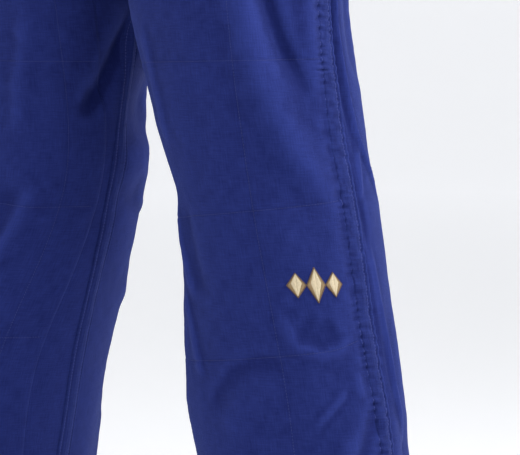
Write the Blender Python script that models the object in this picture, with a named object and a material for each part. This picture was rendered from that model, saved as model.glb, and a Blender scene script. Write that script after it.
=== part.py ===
"""Trousers of a martial arts uniform, standing as worn with the legs apart.

The wearer faces -Y and the wearer's left is +X. The origin is the middle of the waist opening.
Every cloth panel is a thin shell around the leg, cut in zones so that it can bend at hip and knee.
"""

import math

import bpy

# Heights of the zones below the top edge of the waistband
WAISTBAND_Z = (0.0, -0.042)
SEAT_Z = (-0.042, -0.09)
HIP_Z = (-0.09, -0.36)
THIGH_Z = (-0.36, -0.445)
KNEE_Z = (-0.445, -0.675)
SHIN_Z = (-0.675, -0.95)
HEM_Z = (-0.95, -0.98)
CROTCH_Z = -0.33

# Each station of a leg's tube: height, centre to the side, centre to the back, half width, half depth,
# and how far the right leg, which stands apart with its knee turned in, lies off the mirrored left one
STATIONS = (
    (0.00, 0.000, 0.000, 0.165, 0.115, 0.000),
    (-0.05, 0.006, 0.001, 0.163, 0.119, 0.000),
    (-0.12, 0.031, 0.006, 0.157, 0.131, 0.000),
    (-0.20, 0.063, 0.011, 0.138, 0.138, 0.000),
    (-0.33, 0.104, 0.008, 0.104, 0.118, 0.000),
    (-0.40, 0.118, 0.003, 0.096, 0.103, 0.000),
    (-0.56, 0.163, -0.008, 0.089, 0.091, 0.020),
    (-0.76, 0.188, 0.004, 0.099, 0.100, -0.022),
    (-0.98, 0.212, 0.012, 0.094, 0.096, -0.033),
)
LEAN_DIRECTION = (0.731, 0.682)

GAP = 0.0003
CLOTH = 0.0020
LAYER = 0.0014
BAND = 0.0016
SIDE_BAND = 0.024
INNER_BAND = 0.018
HEM_CLOTH = 0.0040
COLUMNS = 14

# Reinforcement over the front of the leg
LAYER_TOP = -0.3045
LAYER_BOTTOM = -0.835

# Top of the inseam bands, below the tips of the gusset
INSEAM_TOP = -0.392

# Diamond gusset under the crotch, and where the rise seams end above it
GUSSET_FRONT = -0.058
GUSSET_BACK = 0.076
GUSSET_DEPTH = 0.052
GUSSET_GAP = 0.0024
GUSSET_CLOTH = 0.0018
RISE_END_Z = -0.295

# Waistband
RING = 48
BAND_OUTER = 0.0018
ELASTIC = 0.0020
FACING = 0.0016
EYELET_X = 0.034
EYELET_Z = -0.021
EYELET_HOLE = 0.0030
LOOP_X = 0.058
LOOP_WIDTH = 0.010
LOOP_BOW = 0.009

# Joint axes, both along X
HIP_AXIS = (0.095, 0.0, -0.14)
KNEE_AXIS = (0.163, -0.008, -0.56)

# Emblem on the outer front of the left shin
EMBLEM_Z = -0.637
EMBLEM_SIZE = (0.053, 0.031)
EMBLEM_ANGLE = math.radians(-31)
EMBLEM_SIDE_SHARE = 0.7
EMBLEM_LINK = 0.0024
EMBLEM_THICKNESS = 0.0010

BLUE = (0.030, 0.045, 0.215, 1)
DEEP_BLUE = (0.024, 0.036, 0.180, 1)
THREAD_BLUE = (0.036, 0.055, 0.245, 1)
GOLD = (0.62, 0.47, 0.22, 1)
WHITE = (0.75, 0.75, 0.72, 1)


def between(z, columns):
    """Columns of the stations at a height, smoothly between them."""
    last = len(STATIONS) - 1
    i = 0
    while i < last - 1 and z < STATIONS[i + 1][0]:
        i += 1
    a, b = STATIONS[i], STATIONS[i + 1]
    before, after = STATIONS[max(i - 1, 0)], STATIONS[min(i + 2, last)]
    h = b[0] - a[0]
    t = (z - a[0]) / h
    values = []
    for k in columns:
        m0 = (b[k] - before[k]) / (b[0] - before[0]) * h
        m1 = (after[k] - a[k]) / (after[0] - a[0]) * h
        values.append(
            (2 * t**3 - 3 * t**2 + 1) * a[k]
            + (t**3 - 2 * t**2 + t) * m0
            + (3 * t**2 - 2 * t**3) * b[k]
            + (t**3 - t**2) * m1
        )
    return values


def tube(z):
    """Centre and half axes of the left leg's tube at a height."""
    return between(z, (1, 2, 3, 4))


def lean(side, z):
    """How far a leg lies off the left leg or its mirror image, to the left and to the back."""
    if side > 0:
        return 0.0, 0.0
    (far,) = between(z, (5,))
    return far * LEAN_DIRECTION[0], far * LEAN_DIRECTION[1]


def clamp(value, low=-1.0, high=1.0):
    return max(low, min(high, value))


def point(side, angle, z, offset):
    """A point on the tube; angle 0 is the outer side, negative is the front."""
    cx, cy, a, b = tube(z)
    dx, dy = lean(side, z)
    return (
        side * (cx + (a + offset) * math.cos(angle)) + dx,
        cy + (b + offset) * math.sin(angle) + dy,
        z,
    )


def angle_at(x, z, offset):
    """The angle where the tube is at a distance x from the middle plane."""
    cx, _, a, _ = tube(z)
    return math.acos(clamp((x - cx) / (a + offset)))


def inner_edge(z, offset):
    """Where a panel ends: at the middle plane above the crotch, at the inseam below it."""
    _, _, _, b = tube(z)
    return min(angle_at(GAP / 2, z, offset), math.pi - GAP / 2 / b)


def inner_band_edge(z, offset):
    """Where the rise seam's or the inseam's band ends on a panel."""
    _, _, _, b = tube(z)
    leg = math.pi - INNER_BAND / 2 / b
    if z <= CROTCH_Z:
        return leg
    rise = angle_at(INNER_BAND / 2, z, offset)
    near = clamp((z - CROTCH_Z) / 0.04, 0, 1)
    return rise * near + min(leg, inner_edge(z, offset) - 0.01) * (1 - near)


def side_band_edge(z):
    return SIDE_BAND / 2 / tube(z)[3]


def panel_angles(z, offset):
    """The angles of a panel's columns from the side seam to the middle."""
    _, _, _, b = tube(z)
    first, last = side_band_edge(z), inner_band_edge(z, offset)
    inner = [first + (last - first) * i / (COLUMNS - 2) for i in range(COLUMNS - 1)]
    return [GAP / 2 / b] + inner + [inner_edge(z, offset)]


def layer_angles(z, offset):
    """The columns of the reinforcement, from the side seam's band to just short of the inseam."""
    _, _, _, b = tube(z)
    angles = panel_angles(z, offset)[1:-2]
    angles[0] += 2 * GAP / b
    return angles


def cloth_material(name, colour, roughness=0.88):
    material = bpy.data.materials.new(name)
    material.use_nodes = True
    shader = material.node_tree.nodes["Principled BSDF"]
    shader.inputs["Base Color"].default_value = colour
    shader.inputs["Roughness"].default_value = roughness
    shader.inputs["Metallic"].default_value = 0.0
    return material


def add_object(name, vertices, faces, colour, origin=(0, 0, 0), roughness=0.88):
    """An object with its origin on the axis that it turns about."""
    local = [tuple(v[k] - origin[k] for k in range(3)) for v in vertices]
    mesh = bpy.data.meshes.new(name)
    mesh.from_pydata(local, [], faces)
    mesh.update()
    if signed_volume(mesh) < 0:
        mesh.flip_normals()
    for polygon in mesh.polygons:
        polygon.use_smooth = True
    mesh.materials.append(cloth_material(name + "_material", colour, roughness))
    made = bpy.data.objects.new(name, mesh)
    made.location = origin
    bpy.context.scene.collection.objects.link(made)
    return made


def signed_volume(mesh):
    mesh.calc_loop_triangles()
    total = 0.0
    for triangle in mesh.loop_triangles:
        a, b, c = (mesh.vertices[i].co for i in triangle.vertices)
        total += a.cross(b).dot(c)
    return total


def split(vertices, a, b, c, d):
    """Two triangles for a quad, cut along its shorter diagonal so that neighbouring layers agree."""
    first = math.dist(vertices[a], vertices[c])
    second = math.dist(vertices[b], vertices[d])
    if first < second - 1e-6:
        return [(a, b, c), (a, c, d)]
    return [(a, b, d), (b, c, d)]


def shell(name, outer, inner, colour, closed=False, origin=(0, 0, 0)):
    """A closed solid between two grids of points with the same rows and columns."""
    rows, columns = len(outer), len(outer[0])
    vertices = [p for row in outer for p in row] + [p for row in inner for p in row]
    half = rows * columns
    faces = []
    steps = columns if closed else columns - 1
    for i in range(rows - 1):
        for j in range(steps):
            k = (j + 1) % columns
            a, b = i * columns + j, i * columns + k
            c, d = (i + 1) * columns + k, (i + 1) * columns + j
            for triangle in split(vertices, a, b, c, d):
                faces.append(triangle)
                faces.append(tuple(half + v for v in reversed(triangle)))
    for j in range(steps):
        k = (j + 1) % columns
        faces.append((k, j, half + j, half + k))
        base = (rows - 1) * columns
        faces.append((base + j, base + k, half + base + k, half + base + j))
    if not closed:
        for i in range(rows - 1):
            a, b = i * columns, (i + 1) * columns
            faces.append((a, b, half + b, half + a))
            c, d = a + columns - 1, b + columns - 1
            faces.append((d, c, half + c, half + d))
    return add_object(name, vertices, faces, colour, origin)


def levels(zone, count, gap_top=True):
    """Heights through a zone, which stops short of its neighbours by half a gap."""
    top = zone[0] - (GAP / 2 if gap_top else 0)
    bottom = zone[1] + GAP / 2
    return [top + (bottom - top) * i / count for i in range(count + 1)]


def hip_levels():
    """Heights through the hip zone, closer together where the legs part."""
    top, bottom = HIP_Z[0] - GAP / 2, HIP_Z[1] + GAP / 2
    upper = [top + (LAYER_TOP - top) * math.sin(math.pi / 2.4 * i / 6) for i in range(6)]
    lower = [LAYER_TOP + (CROTCH_Z - LAYER_TOP) * math.sin(math.pi / 2 * i / 3) for i in range(4)]
    return upper + lower + [(CROTCH_Z + bottom) / 2, bottom]


def levels_through(zone, height, above, below):
    """Heights through a zone, one of them where the reinforcement starts or ends."""
    upper = levels((zone[0], height - GAP / 2), above)
    lower = levels((height + GAP / 2, zone[1]), below)
    return upper[:-1] + lower


ZONE_LEVELS = {
    "seat": levels(SEAT_Z, 2),
    "hip": hip_levels(),
    "thigh": levels_through(THIGH_Z, INSEAM_TOP, 1, 2),
    "knee": levels(KNEE_Z, 6),
    "shin": levels_through(SHIN_Z, LAYER_BOTTOM, 4, 3),
}


def origin_of(side, zone):
    """Panels of a zone turn about the hip or the knee; those above the thigh stay with the seat."""
    if zone in ("thigh", "knee"):
        return (side * HIP_AXIS[0], HIP_AXIS[1], HIP_AXIS[2])
    if zone in ("shin", "hem"):
        dx, dy = lean(side, KNEE_AXIS[2])
        return (side * KNEE_AXIS[0] + dx, KNEE_AXIS[1] + dy, KNEE_AXIS[2])
    return (0, 0, 0)


def grid(side, face, heights, angles_of, offset):
    return [
        [point(side, face * a, z, offset) for a in angles_of(z, offset)] for z in heights
    ]


def add_panels(side, word):
    for zone, heights in ZONE_LEVELS.items():
        for face, label in ((-1, "front"), (1, "back")):
            shell(
                f"{word}_{label}_panel_{zone}",
                grid(side, face, heights, panel_angles, 0.0),
                grid(side, face, heights, panel_angles, -CLOTH),
                BLUE,
                origin=origin_of(side, zone),
            )


def add_side_seam(side, word):
    """The felled seam down the outer side, lying over the edges of the two panels."""
    def rows(heights, offset):
        return [
            [point(side, k * side_band_edge(z), z, offset) for k in (-1, 0, 1)]
            for z in heights
        ]

    for zone, heights in ZONE_LEVELS.items():
        shell(
            f"{word}_side_seam_{zone}",
            rows(heights, GAP + BAND),
            rows(heights, GAP),
            DEEP_BLUE,
            origin=origin_of(side, zone),
        )


def add_inseam(side, word):
    """The seam down the inner side of the leg, from the tip of the gusset to the hem."""
    def rows(heights, offset):
        table = []
        for z in heights:
            edge = INNER_BAND / 2 / tube(z)[3]
            angles = (math.pi - edge, math.pi, math.pi + edge)
            table.append([point(side, a, z, offset) for a in angles])
        return table

    for zone in ("thigh", "knee", "shin"):
        heights = ZONE_LEVELS[zone][1:] if zone == "thigh" else ZONE_LEVELS[zone]
        shell(
            f"{word}_inseam_{zone}",
            rows(heights, GAP + BAND),
            rows(heights, GAP),
            DEEP_BLUE,
            origin=origin_of(side, zone),
        )


def add_reinforcement(side, word):
    """The second layer stitched over the front of the leg."""
    for zone in ("hip", "thigh", "knee", "shin"):
        heights = [z for z in ZONE_LEVELS[zone] if LAYER_BOTTOM - GAP < z < LAYER_TOP + GAP]
        shell(
            f"{word}_reinforcement_{zone}",
            grid(side, -1, heights, layer_angles, GAP + LAYER),
            grid(side, -1, heights, layer_angles, GAP),
            THREAD_BLUE,
            origin=origin_of(side, zone),
        )


def add_hem(side, word):
    """The turned-up bottom of the leg, twice as thick as the panels."""
    heights = levels(HEM_Z, 2)
    heights[-1] = HEM_Z[1]

    def rows(offset):
        return [
            [point(side, 2 * math.pi * j / 36, z, offset) for j in range(36)] for z in heights
        ]

    origin = origin_of(side, "hem")
    shell(f"{word}_hem", rows(0.0), rows(-HEM_CLOTH), BLUE, closed=True, origin=origin)


def waist_point(angle, z, offset):
    cx, cy, a, b = tube(z)
    return ((a + cx + offset) * math.cos(angle), cy + (b + offset) * math.sin(angle), z)


def ring_rows(top, bottom, offset, count=RING):
    return [
        [waist_point(2 * math.pi * j / count, z, offset) for j in range(count)]
        for z in (top, (top + bottom) / 2, bottom)
    ]


def add_waist_ring(name, top, bottom, outer, inner, colour):
    return shell(
        name, ring_rows(top, bottom, outer), ring_rows(top, bottom, inner), colour, closed=True
    )


def front_angle(x, z):
    cx, _, a, _ = tube(z)
    return -math.acos(clamp(x / (a + cx)))


def cut_eyelet_hole(band, x):
    """A round hole through the outer band, where the drawstring comes out."""
    angle = front_angle(x, EYELET_Z)
    place = waist_point(angle, EYELET_Z, 0)
    bpy.ops.mesh.primitive_cylinder_add(
        vertices=16,
        radius=EYELET_HOLE,
        depth=0.02,
        location=place,
        rotation=(math.pi / 2, 0, 0),
    )
    cutter = bpy.context.object
    cutter.name = "eyelet_cutter"
    cutter.hide_render = True
    cutter.display_type = "WIRE"
    modifier = band.modifiers.new("eyelet", "BOOLEAN")
    modifier.operation = "DIFFERENCE"
    modifier.solver = "EXACT"
    modifier.object = cutter
    return cutter


def add_eyelet(name, x):
    """A ring of thread around the hole, lying on the outer band."""
    angle = front_angle(x, EYELET_Z)
    cx, cy, a, b = tube(EYELET_Z)
    tilt = math.atan2(b * math.cos(angle), (a + cx) * -math.sin(angle))
    thread = 0.0011
    radius = EYELET_HOLE + thread + 0.0002
    middle = waist_point(angle, EYELET_Z, thread + GAP + 0.0002)
    vertices, faces = [], []
    around, section = 20, 8
    for i in range(around):
        u = 2 * math.pi * i / around
        for j in range(section):
            v = 2 * math.pi * j / section
            r = radius + thread * math.cos(v)
            x_local, y_local = r * math.cos(u), -thread * math.sin(v)
            vertices.append((
                middle[0] + x_local * math.cos(tilt) - y_local * math.sin(tilt),
                middle[1] + x_local * math.sin(tilt) + y_local * math.cos(tilt),
                middle[2] + r * math.sin(u),
            ))
    for i in range(around):
        for j in range(section):
            k, m = (i + 1) % around, (j + 1) % section
            faces.append((i * section + j, k * section + j, k * section + m, i * section + m))
    add_object(name, vertices, faces, THREAD_BLUE)


def add_loop(name, x):
    """A narrow strip that stands off the waistband and holds the tied cord."""
    steps = 8
    outer, inner = [], []
    for i in range(steps + 1):
        t = i / steps
        z = -0.002 - 0.038 * t
        bow = LOOP_BOW * math.sin(math.pi * t) ** 0.6
        angles = [front_angle(x + d, z) for d in (-LOOP_WIDTH / 2, 0, LOOP_WIDTH / 2)]
        outer.append([waist_point(a, z, 0.0005 + bow + BAND) for a in angles])
        inner.append([waist_point(a, z, 0.0005 + bow) for a in angles])
    shell(name, outer, inner, DEEP_BLUE)


def add_label():
    """A blank woven label inside the back of the waistband."""
    depth = BAND_OUTER + ELASTIC + FACING + 3 * GAP
    step = 2 * math.pi / RING
    angles = [math.pi / 2 + k * step for k in (-1, 0, 1)]
    heights = (-0.008, -0.021, -0.034)

    def rows(offset):
        return [[waist_point(a, z, offset) for a in angles] for z in heights]

    shell("size_label", rows(-depth), rows(-depth - 0.0008), WHITE)


def add_waistband():
    top, bottom = WAISTBAND_Z[0], WAISTBAND_Z[1] + GAP / 2
    band = add_waist_ring("waistband", top, bottom, 0.0, -BAND_OUTER, BLUE)
    cutters = [cut_eyelet_hole(band, x) for x in (-EYELET_X, EYELET_X)]
    apply_modifiers(band)
    for cutter in cutters:
        bpy.data.objects.remove(cutter, do_unlink=True)
    depth = BAND_OUTER + GAP
    add_waist_ring("waist_elastic", -0.004, -0.036, -depth, -depth - ELASTIC, WHITE)
    depth += ELASTIC + GAP
    add_waist_ring("waistband_facing", top - 0.001, bottom, -depth, -depth - FACING, DEEP_BLUE)
    for word, x in (("right", -1), ("left", 1)):
        add_eyelet(f"{word}_eyelet", x * EYELET_X)
        add_loop(f"{word}_front_loop", x * LOOP_X)
    add_label()


def apply_modifiers(made):
    view = bpy.context.evaluated_depsgraph_get()
    mesh = bpy.data.meshes.new_from_object(made.evaluated_get(view))
    made.modifiers.clear()
    made.data = mesh


def add_rise_seam(name, face):
    """The seam down the middle of the front or the back, between the left and right panels."""
    heights = ZONE_LEVELS["seat"][:-1] + [z for z in ZONE_LEVELS["hip"] if z > RISE_END_Z]

    def rows(offset):
        table = []
        for z in heights:
            row = []
            for side, x in ((1, INNER_BAND / 2), (1, 0.0), (-1, INNER_BAND / 2)):
                row.append(point(side, face * angle_at(x, z, offset), z, offset))
            table.append(row)
        return table

    shell(name, rows(GAP + BAND), rows(GAP), DEEP_BLUE)


def wall_x(y, z):
    """Distance of the inner wall of the leg from the middle plane."""
    cx, cy, a, b = tube(z)
    return cx - a * math.sqrt(max(0.0, 1 - ((y - cy) / b) ** 2))


def crest_z(y, x):
    """The height where the inner wall comes within x of the middle plane."""
    low, high = -0.45, -0.15
    for _ in range(50):
        middle = (low + high) / 2
        if wall_x(y, middle) > x:
            low = middle
        else:
            high = middle
    return (low + high) / 2


def gusset_end(y):
    middle = (GUSSET_FRONT + GUSSET_BACK) / 2
    half = (GUSSET_BACK - GUSSET_FRONT) / 2
    share = 1 - abs(y - middle) / half
    return crest_z(y, GUSSET_GAP + GUSSET_CLOTH) - 0.004 - (GUSSET_DEPTH - 0.004) * share


def add_gusset():
    """The diamond under the crotch, which folds over the middle like a saddle."""
    steps, side_steps = 14, 5

    def rows(x_offset):
        table = []
        for i in range(steps + 1):
            y = GUSSET_FRONT + (GUSSET_BACK - GUSSET_FRONT) * i / steps
            top, end = crest_z(y, x_offset), gusset_end(y)
            half = []
            for j in range(side_steps + 1):
                z = top + (end - top) * j / side_steps
                half.append((max(0.0, wall_x(y, z) - x_offset) if j else 0.0, y, z))
            table.append(half[::-1] + [(-x, y, z) for x, y, z in half[1:]])
        return table

    shell(
        "crotch_gusset", rows(GUSSET_GAP + GUSSET_CLOTH), rows(GUSSET_GAP), BLUE
    )


def add_emblem():
    """Three linked lozenges, embroidered on the reinforcement of the left leg."""
    width, height = EMBLEM_SIZE
    columns = 24
    outer, inner = [[], [], []], [[], [], []]
    base = GAP + LAYER + GAP
    radius = tube(EMBLEM_Z)[3]
    for j in range(columns + 1):
        s = j / columns
        peak = height if 1 / 3 < s < 2 / 3 else height * EMBLEM_SIDE_SHARE
        tall = max(EMBLEM_LINK, peak * (1 - abs((s * 3) % 1 - 0.5) * 2))
        angle = EMBLEM_ANGLE + (s - 0.5) * width / radius
        for i in range(3):
            z = EMBLEM_Z + tall * (0.5 - i / 2)
            outer[i].append(point(1, angle, z, base + EMBLEM_THICKNESS))
            inner[i].append(point(1, angle, z, base))
    shell("emblem", outer, inner, GOLD, origin=origin_of(1, "shin"))


def build():
    for thing in list(bpy.data.objects):
        bpy.data.objects.remove(thing, do_unlink=True)
    add_waistband()
    add_rise_seam("front_rise_seam", -1)
    add_rise_seam("back_rise_seam", 1)
    add_gusset()
    for side, word in ((1, "left"), (-1, "right")):
        add_panels(side, word)
        add_side_seam(side, word)
        add_inseam(side, word)
        add_reinforcement(side, word)
        add_hem(side, word)
    add_emblem()


build()
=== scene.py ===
"""Looks of the martial arts trousers: woven cotton panels, felled seams, quilting, thread and the studio."""

import math

import bmesh
import bpy
import numpy as np
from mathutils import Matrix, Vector


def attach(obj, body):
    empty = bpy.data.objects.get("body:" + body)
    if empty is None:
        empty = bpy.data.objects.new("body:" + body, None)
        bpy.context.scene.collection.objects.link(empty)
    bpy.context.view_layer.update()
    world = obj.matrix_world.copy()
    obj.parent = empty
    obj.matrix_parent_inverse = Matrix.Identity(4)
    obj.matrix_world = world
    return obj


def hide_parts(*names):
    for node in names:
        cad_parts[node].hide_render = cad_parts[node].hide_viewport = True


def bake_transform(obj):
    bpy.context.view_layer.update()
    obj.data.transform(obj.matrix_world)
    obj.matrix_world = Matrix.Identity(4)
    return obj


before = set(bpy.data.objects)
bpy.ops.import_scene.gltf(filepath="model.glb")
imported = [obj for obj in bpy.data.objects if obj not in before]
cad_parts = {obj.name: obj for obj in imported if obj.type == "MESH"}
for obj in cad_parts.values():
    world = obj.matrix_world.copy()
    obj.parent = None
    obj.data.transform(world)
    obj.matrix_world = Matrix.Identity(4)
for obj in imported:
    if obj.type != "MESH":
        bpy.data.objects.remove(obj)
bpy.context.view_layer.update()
SIDES = {"left": 1, "right": -1}
LEG_SEED = {1: 11, -1: 47}

# ---- the cut, the same as the CAD
WAIST_BOTTOM = -0.042
SPLIT = -0.45
CROTCH = -0.33
HEM_TOP = -0.95
HEM_BOTTOM = -0.98
SIDE_BAND = 0.024
INNER_BAND = 0.018
INSEAM_TOP = -0.385
PANEL_TOP = WAIST_BOTTOM + 0.003
RISE_BOTTOM = -0.298
BAND_BOTTOM = HEM_BOTTOM + 0.0012
THREAD_BOTTOM = HEM_BOTTOM + 0.002
CLOTH_LIFT = -0.0002
LAYER = 0.0014
LAYER_WIDTH = 0.266
LAYER_TOP = -0.3045
LAYER_BOTTOM = -0.835
LAYER_EDGE_ROW = 0.004
LAYER_START = 0.1
GUSSET_FRONT, GUSSET_BACK, GUSSET_RIM, GUSSET_DEPTH, GUSSET_LIFT = -0.062, 0.080, 0.004, 0.050, 0.0036
QUILT_RINGS = (-0.441, -0.572, -0.699)
QUILT_PITCH = 0.1335
QUILT_ARC = 0.094
QUILT_END = -0.262
SIDE_ROWS = (-0.0088, 0.0068)
INNER_ROWS = (-0.0055, 0.0055)
HEM_ROWS = (-0.9535, -0.9600, -0.9665, -0.9730)
# height, centre to the side and the back, half width, half depth, and how far the right leg lies off
LEG_STATIONS = np.array([
    (0.00, 0.000, 0.000, 0.165, 0.115, 0.000),
    (-0.05, 0.006, 0.001, 0.163, 0.119, 0.000),
    (-0.12, 0.031, 0.006, 0.157, 0.131, 0.000),
    (-0.20, 0.063, 0.011, 0.138, 0.138, 0.000),
    (-0.33, 0.104, 0.008, 0.104, 0.118, 0.000),
    (-0.40, 0.118, 0.003, 0.096, 0.103, 0.000),
    (-0.56, 0.163, -0.008, 0.089, 0.091, 0.020),
    (-0.76, 0.188, 0.004, 0.099, 0.100, -0.022),
    (-0.98, 0.212, 0.012, 0.094, 0.096, -0.033),
])
LEAN_DIRECTION = np.array([0.731, 0.682, 0.0])


def stations(z):
    """The stations' columns at heights z."""
    z = np.asarray(z, float)
    s = LEG_STATIONS
    i = np.clip(np.searchsorted(-s[:, 0], -z, side="right") - 1, 0, len(s) - 2)
    before, after = np.maximum(i - 1, 0), np.minimum(i + 2, len(s) - 1)
    h = (s[i + 1, 0] - s[i, 0])[..., None]
    t = ((z - s[i, 0]) / h[..., 0])[..., None]
    a, b = s[i, 1:], s[i + 1, 1:]
    m0 = (b - s[before, 1:]) / (s[i + 1, 0] - s[before, 0])[..., None] * h
    m1 = (s[after, 1:] - a) / (s[after, 0] - s[i, 0])[..., None] * h
    v = (
        (2 * t**3 - 3 * t**2 + 1) * a
        + (t**3 - 2 * t**2 + t) * m0
        + (3 * t**2 - 2 * t**3) * b
        + (t**3 - t**2) * m1
    )
    return np.moveaxis(v, -1, 0)


def tube(z):
    """Centre and half axes of a leg's tube at heights z."""
    return stations(z)[:4]


def mean_radius(z):
    _, _, half, deep = tube(z)
    return (half + deep) / 2


def leaning(side, z):
    """How far the right leg lies off the mirror image of the left one."""
    far = stations(z)[4] if side < 0 else np.zeros_like(np.asarray(z, float))
    return far[..., None] * LEAN_DIRECTION


# ---- noise and small helpers
def smooth(x, low=0.0, high=1.0):
    t = np.clip((x - low) / (high - low), 0, 1)
    return t * t * (3 - 2 * t)


def lattice(seed):
    return np.random.default_rng(seed).uniform(-1, 1, (256, 256))


def noise(u, v, seed):
    """Smooth noise between -1 and 1, the same for the same seed."""
    table = lattice(seed)
    iu, iv = np.floor(u).astype(int), np.floor(v).astype(int)
    fu, fv = smooth(u - iu), smooth(v - iv)
    a, b = table[iu % 256, iv % 256], table[(iu + 1) % 256, iv % 256]
    c, d = table[iu % 256, (iv + 1) % 256], table[(iu + 1) % 256, (iv + 1) % 256]
    return (a * (1 - fu) + b * fu) * (1 - fv) + (c * (1 - fu) + d * fu) * fv


def bell(x, width):
    return np.exp(-((x / width) ** 2))


def along(path, a, z):
    """Distance to the nearest point of a line on the cloth, the side it is on, and how far along."""
    path = np.asarray(path, float)
    step = np.diff(path, axis=0)
    long = np.linalg.norm(step, axis=1)
    total, start = long.sum(), 0.0
    best = np.full(a.shape, np.inf)
    side, place = np.zeros(a.shape), np.zeros(a.shape)
    for p, d, n in zip(path[:-1], step, long):
        t = np.clip(((a - p[0]) * d[0] + (z - p[1]) * d[1]) / n**2, 0, 1)
        x, y = a - p[0] - t * d[0], z - p[1] - t * d[1]
        far = np.hypot(x, y)
        near = far < best
        best = np.where(near, far, best)
        side = np.where(near, np.sign(x * d[1] - y * d[0]), side)
        place = np.where(near, (start + t * n) / total, place)
        start += n
    return best, side, place


def fold(a, z, path, width, height, lean=0.0):
    """A soft ridge (height > 0) or trough along a path, fading out at its ends; lean makes one flank steep."""
    far, side, place = along(path, a, z)
    fade = smooth(place, 0.0, 0.25) * smooth(1 - place, 0.0, 0.25)
    wide = width * (1 + lean * side)
    return height * fade * bell(far, wide)


# ---- relief of the cloth
def in_metres(*folds):
    """Folds written down in millimetres: a path of places round the leg and heights, width, height, and lean."""
    return tuple(
        ([(a / 1000, z / 1000) for a, z in path], width / 1000, height / 1000, lean)
        for path, width, height, lean in folds
    )


# Folds of the left leg. Places are counted from the side seam, negative in front.
LEFT_FOLDS = in_metres(
    # back panel, just behind the side seam: a gutter, then a narrow crease
    (((12.6, -300), (12.8, -400), (14.5, -460), (18.5, -500), (22, -540)), 2.6, -2.4, 0),
    (((16.5, -250), (16, -360), (17.2, -420), (20.8, -473), (25.8, -503.5), (34.5, -525), (50, -550),
      (72, -590)), 2.7, 4.4, 0.1),
    (((60, -300), (50, -400), (52, -470)), 14, -4, 0),
    (((27, -512.5), (22.5, -539), (17, -570)), 3.5, 2, 0.2),
    (((14.5, -540), (19, -620), (22, -680), (24, -730), (30, -770)), 3.8, -2.8, 0),
    (((16.5, -570), (22, -651.5), (27, -699), (30, -740), (43, -775.5), (60, -810)), 5, 5, 0.3),
    (((36, -640), (41, -700), (47, -760), (56, -840)), 12, -3.4, 0),
    # front of the thigh: a broad ridge that runs down to the seam, and the valley beside it
    (((-85, -250), (-84, -378), (-78, -430.5), (-72.5, -461), (-61.5, -492), (-47, -522.5), (-27.5, -560),
      (-12, -600)), 20, 10, 0),
    (((-65, -270), (-60, -387.5), (-54, -412.5), (-45, -438.5), (-30, -478)), 11, -10, 0.2),
    (((-20, -280), (-19, -400), (-16, -490)), 13, 4.2, 0),
    # inner edge of the thigh, the knee and below it
    (((-196, -400), (-190.5, -441), (-181.5, -476.5), (-176, -530)), 8, 2.6, 0.2),
    (((-200, -560), (-192, -600), (-176, -660)), 8, 3.2, 0.3),
    (((-176, -560), (-170, -610), (-160, -660)), 9, -2.2, 0),
    (((-196, -640), (-186, -680), (-180, -730)), 6, 2.8, 0.3),
    # bowl under the emblem
    (((-88, -655), (-78, -690), (-57.5, -697.5), (-40, -694), (-18, -680)), 7, 2, 0.3),
    (((-74, -668), (-56.5, -680.5), (-34, -672)), 12, -1.6, 0),
    # arch inside of the quilting line
    (((-172, -760), (-153, -727), (-134.5, -712.5), (-111.5, -704.5), (-80, -710)), 10, -2.1, 0.2),
    (((-160, -778), (-138, -748), (-112, -732), (-90, -728)), 14, 1.4, 0),
    # diagonals below the emblem
    (((-36, -728), (-45, -738), (-58, -749.5), (-74, -764)), 3.4, 1.1, 0.3),
    (((-22, -712), (-24, -724), (-22, -740)), 4, 1.4, 0.2),
    (((-12, -742), (-21, -772), (-36, -795), (-60, -812)), 8, -2.6, 0),
    (((-30, -762), (-50, -800), (-90, -835)), 14, 3, 0),
)
# The right leg has the left one's folds, moved and softened, and a deep one high inside.
RIGHT_FOLDS = tuple(
    ([(a * 0.93 - 0.012, z * 1.05 + 0.035) for a, z in path], width * 1.2, height * 0.9, lean)
    for path, width, height, lean in LEFT_FOLDS
) + in_metres(
    (((-318, -375), (-306, -402), (-300, -414), (-284, -440), (-264, -468), (-235, -500)), 10.5, -12.5, 0),
)
# Folds of both legs where nothing special is known: seat, crotch, back of the knee, hem.
COMMON_FOLDS = in_metres(
    (((-330, -300), (-255, -250), (-190, -215)), 13, 4, 0.2),
    (((-335, -322), (-260, -295), (-190, -280), (-140, -275)), 11, 4.2, 0.2),
    (((-325, -345), (-262, -345), (-215, -350)), 10, -3, 0),
    (((-310, -270), (-265, -215), (-225, -170)), 13, 3, 0),
    (((320, -300), (255, -255), (190, -235)), 15, 4.5, 0.2),
    (((330, -325), (260, -320), (180, -322)), 12, 4.5, 0.2),
    (((290, -345), (225, -365), (150, -375)), 14, -3, 0),
    (((270, -365), (205, -395), (130, -400)), 13, 4, 0),
    (((240, -470), (180, -500), (110, -510)), 16, 4, 0.2),
    (((250, -535), (190, -545), (120, -560), (70, -590)), 14, -4.5, 0),
    (((250, -570), (190, -590), (120, -600)), 13, 5, 0.3),
    (((230, -620), (160, -640), (95, -630)), 16, -4, 0),
    (((250, -665), (180, -690), (110, -700)), 18, 4, 0.2),
    (((90, -700), (85, -800), (95, -900), (100, -990)), 22, 5, 0),
    (((150, -780), (160, -880), (155, -990)), 20, -5, 0),
    (((210, -760), (215, -860), (220, -990)), 20, 4.5, 0),
    (((-120, -830), (-125, -900), (-120, -990)), 22, -4.5, 0),
    (((-175, -800), (-180, -880), (-185, -990)), 22, 4.5, 0),
    (((-60, -860), (-62, -920), (-60, -990)), 20, 3.5, 0),
    (((-20, -130), (-60, -190), (-90, -260)), 16, 2.5, 0),
    (((30, -120), (60, -180), (80, -250)), 18, 3, 0),
    (((-110, -120), (-135, -170), (-150, -230)), 14, -2.5, 0),
)


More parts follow.
